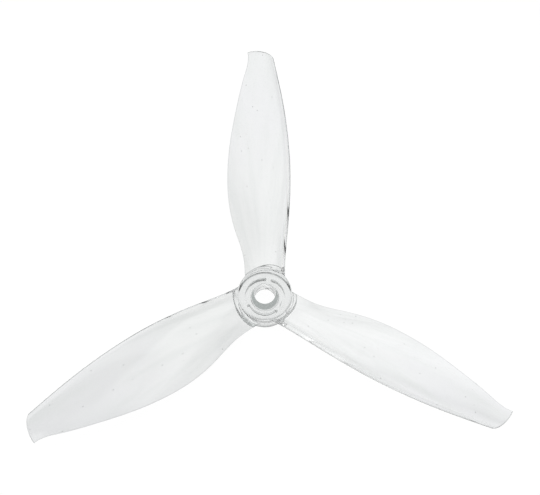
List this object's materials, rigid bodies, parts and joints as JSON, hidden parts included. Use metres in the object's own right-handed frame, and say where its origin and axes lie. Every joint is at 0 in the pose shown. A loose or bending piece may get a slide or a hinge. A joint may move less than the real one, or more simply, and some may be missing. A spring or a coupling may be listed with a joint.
{
  "type": "propeller",
  "caption": "Clear plastic propeller: twisted blades with a rounded front tip corner and a pointed rear one, round a short hub bored for a motor shaft.",
  "frame": {"origin": "on the motor shaft's axis, inside the bore, at the level of the blade roots", "axes": "+Z along the shaft towards the nut, +Y along blade_1"},
  "size_m": [0.1138, 0.101, 0.0083],
  "materials": {
    "clear_plastic": "clear, polished, with light moulding haze"
  },
  "bodies": {
    "root": {"hub_sleeve": "clear_plastic", "hub_cap": "clear_plastic", "hub_skirt": "clear_plastic", "hub_rib_1": "clear_plastic", "hub_rib_2": "clear_plastic", "hub_rib_3": "clear_plastic", "blade_root_1": "clear_plastic", "blade_root_2": "clear_plastic", "blade_root_3": "clear_plastic", "blade_1": "clear_plastic", "blade_2": "clear_plastic", "blade_3": "clear_plastic"}
  },
  "joints": []
}
